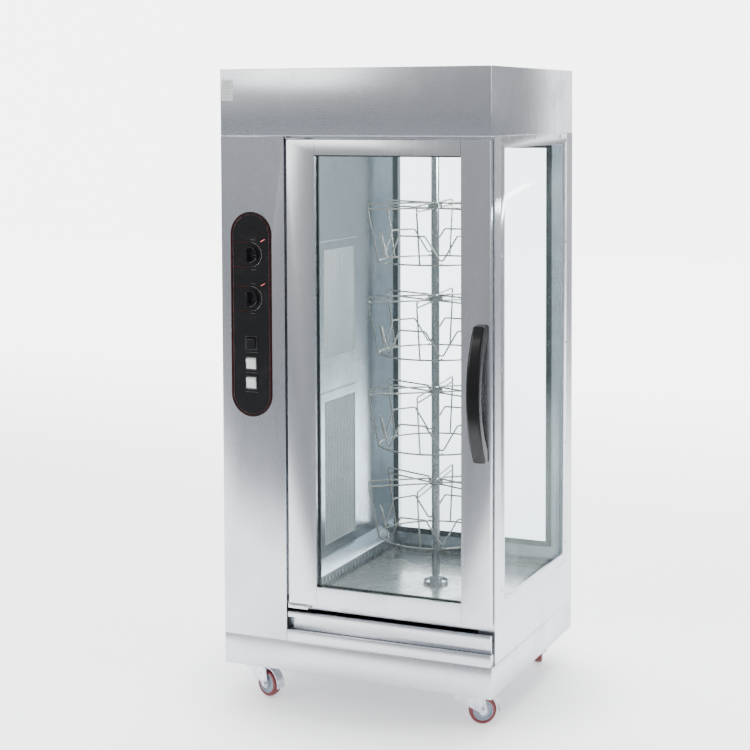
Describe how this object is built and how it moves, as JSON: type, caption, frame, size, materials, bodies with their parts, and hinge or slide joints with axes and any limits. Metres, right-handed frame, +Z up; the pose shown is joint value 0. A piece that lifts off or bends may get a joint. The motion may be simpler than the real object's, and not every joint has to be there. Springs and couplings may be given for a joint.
{
  "type": "vertical rotisserie oven",
  "caption": "Tall gas infrared rotisserie oven on casters, with a glazed door, turning bird racks, a control panel and a fat drawer.",
  "frame": {"origin": "centre of the bounding box, on the floor under the casters", "axes": "+Z up, the door faces -Y, the control panel is on the -X side"},
  "size_m": [0.8028, 0.81, 1.762],
  "materials": {
    "brushed_stainless": "brushed, satin",
    "zinc_plated": "bright zinc, pressed",
    "black_panel": "gloss black enamel",
    "clear_glass": "clear toughened, faint aqua",
    "polished_steel": "polished stainless wire and bar",
    "black_rubber": "heatproof silicone, matte",
    "burner_steel": "heat-greyed mesh",
    "valve_brass": "plain machined",
    "black_plastic": "glossy moulded",
    "white_plastic": "glossy moulded",
    "lamp_ceramic": "glazed ceramic",
    "motor_paint": "satin black",
    "red_tread": "polyurethane on a grey hub"
  },
  "bodies": {
    "cabinet": {"plinth": "brushed_stainless", "control_cover": "brushed_stainless", "service_casing": "brushed_stainless", "partition": "brushed_stainless", "mouth_frame": "brushed_stainless", "corner_posts": "brushed_stainless", "side_frame": "brushed_stainless", "side_apron": "brushed_stainless", "rear_frame": "brushed_stainless", "hood": "brushed_stainless", "ceiling_panel": "brushed_stainless", "cavity_floor": "brushed_stainless", "drip_tray": "brushed_stainless", "air_strip": "brushed_stainless", "front_sill": "brushed_stainless", "hinge_brackets": "brushed_stainless", "caster_plates": "zinc_plated", "drawer_runners": "zinc_plated", "shaft_bearings": "zinc_plated", "burner_housings": "zinc_plated", "control_plate": "black_panel", "side_glass": "clear_glass", "rear_glass": "clear_glass", "lamp_glass": "clear_glass", "panel_screws": "polished_steel", "rear_gasket": "black_rubber", "burner_meshes": "burner_steel", "gas_valves": "valve_brass", "gas_pipework": "valve_brass", "power_gland": "black_plastic", "switch_housings": "black_plastic", "lamp_holder": "lamp_ceramic", "drive_motor": "motor_paint"},
    "door": {"door_frame": "brushed_stainless", "door_back": "brushed_stainless", "door_glass": "clear_glass", "door_gasket": "black_rubber", "door_handle": "black_plastic"},
    "drawer": {"drip_drawer": "brushed_stainless"},
    "rotor": {"rack_shaft": "polished_steel", "shaft_coupling": "polished_steel", "bird_rack_1": "polished_steel", "bird_rack_2": "polished_steel", "bird_rack_3": "polished_steel", "bird_rack_4": "polished_steel"},
    "knob_upper": {"knob_upper": "black_plastic"},
    "knob_lower": {"knob_lower": "black_plastic"},
    "rocker_power": {"rocker_power": "black_plastic"},
    "rocker_rotate": {"rocker_rotate": "white_plastic"},
    "rocker_light": {"rocker_light": "white_plastic"},
    "caster_front_left": {"caster_fork_front_left": "zinc_plated"},
    "wheel_front_left": {"caster_wheel_front_left": "red_tread"},
    "pedal_front_left": {"brake_pedal_front_left": "zinc_plated"},
    "caster_front_right": {"caster_fork_front_right": "zinc_plated"},
    "wheel_front_right": {"caster_wheel_front_right": "red_tread"},
    "pedal_front_right": {"brake_pedal_front_right": "zinc_plated"},
    "caster_rear_left": {"caster_fork_rear_left": "zinc_plated"},
    "wheel_rear_left": {"caster_wheel_rear_left": "red_tread"},
    "caster_rear_right": {"caster_fork_rear_right": "zinc_plated"},
    "wheel_rear_right": {"caster_wheel_rear_right": "red_tread"}
  },
  "joints": [
    {"name": "door_hinge", "type": "hinge", "parent": "cabinet", "child": "door", "pos_m": [-0.188, -0.3125, 0.904], "axis": [0, 0, -1], "range_deg": [0, 100]},
    {"name": "drawer_slide", "type": "slide", "parent": "cabinet", "child": "drawer", "axis": [0, -1, 0], "range_m": [0, 0.4]},
    {"name": "rotor_spin", "type": "hinge", "parent": "cabinet", "child": "rotor", "pos_m": [0.1, 0.03, 0.9], "axis": [0, 0, 1], "continuous": true},
    {"name": "knob_upper_turn", "type": "hinge", "parent": "cabinet", "child": "knob_upper", "pos_m": [-0.307, -0.3273, 1.249], "axis": [0, 1, 0], "range_deg": [0, 270]},
    {"name": "knob_lower_turn", "type": "hinge", "parent": "cabinet", "child": "knob_lower", "pos_m": [-0.307, -0.3273, 1.127], "axis": [0, 1, 0], "range_deg": [0, 270]},
    {"name": "rocker_power_tilt", "type": "hinge", "parent": "cabinet", "child": "rocker_power", "pos_m": [-0.307, -0.32198, 1.003], "axis": [-1, 0, 0], "range_deg": [0, 16]},
    {"name": "rocker_rotate_tilt", "type": "hinge", "parent": "cabinet", "child": "rocker_rotate", "pos_m": [-0.307, -0.32198, 0.946], "axis": [-1, 0, 0], "range_deg": [0, 16]},
    {"name": "rocker_light_tilt", "type": "hinge", "parent": "cabinet", "child": "rocker_light", "pos_m": [-0.307, -0.32198, 0.892], "axis": [-1, 0, 0], "range_deg": [0, 16]},
    {"name": "caster_front_left_swivel", "type": "hinge", "parent": "cabinet", "child": "caster_front_left", "pos_m": [-0.315, -0.277, 0.092], "axis": [0, 0, 1], "continuous": true},
    {"name": "wheel_front_left_roll", "type": "hinge", "parent": "caster_front_left", "child": "wheel_front_left", "pos_m": [-0.27741, -0.29068, 0.0375], "axis": [0.342, 0.9397, 0], "continuous": true},
    {"name": "pedal_front_left_press", "type": "hinge", "parent": "caster_front_left", "child": "pedal_front_left", "pos_m": [-0.27929, -0.29, 0.081], "axis": [0.342, 0.9397, 0], "range_deg": [0, 5]},
    {"name": "caster_front_right_swivel", "type": "hinge", "parent": "cabinet", "child": "caster_front_right", "pos_m": [0.315, -0.277, 0.092], "axis": [0, 0, 1], "continuous": true},
    {"name": "wheel_front_right_roll", "type": "hinge", "parent": "caster_front_right", "child": "wheel_front_right", "pos_m": [0.34964, -0.257, 0.0375], "axis": [-0.5, 0.866, 0], "continuous": true},
    {"name": "pedal_front_right_press", "type": "hinge", "parent": "caster_front_right", "child": "pedal_front_right", "pos_m": [0.34791, -0.258, 0.081], "axis": [-0.5, 0.866, 0], "range_deg": [0, 5]},
    {"name": "caster_rear_left_swivel", "type": "hinge", "parent": "cabinet", "child": "caster_rear_left", "pos_m": [-0.315, 0.327, 0.092], "axis": [0, 0, 1], "continuous": true},
    {"name": "wheel_rear_left_roll", "type": "hinge", "parent": "caster_rear_left", "child": "wheel_rear_left", "pos_m": [-0.27875, 0.34391, 0.0375], "axis": [-0.4226, 0.9063, 0], "continuous": true},
    {"name": "caster_rear_right_swivel", "type": "hinge", "parent": "cabinet", "child": "caster_rear_right", "pos_m": [0.315, 0.327, 0.092], "axis": [0, 0, 1], "continuous": true},
    {"name": "wheel_rear_right_roll", "type": "hinge", "parent": "caster_rear_right", "child": "wheel_rear_right", "pos_m": [0.32535, 0.28836, 0.0375], "axis": [0.9659, 0.2588, 0], "continuous": true}
  ]
}
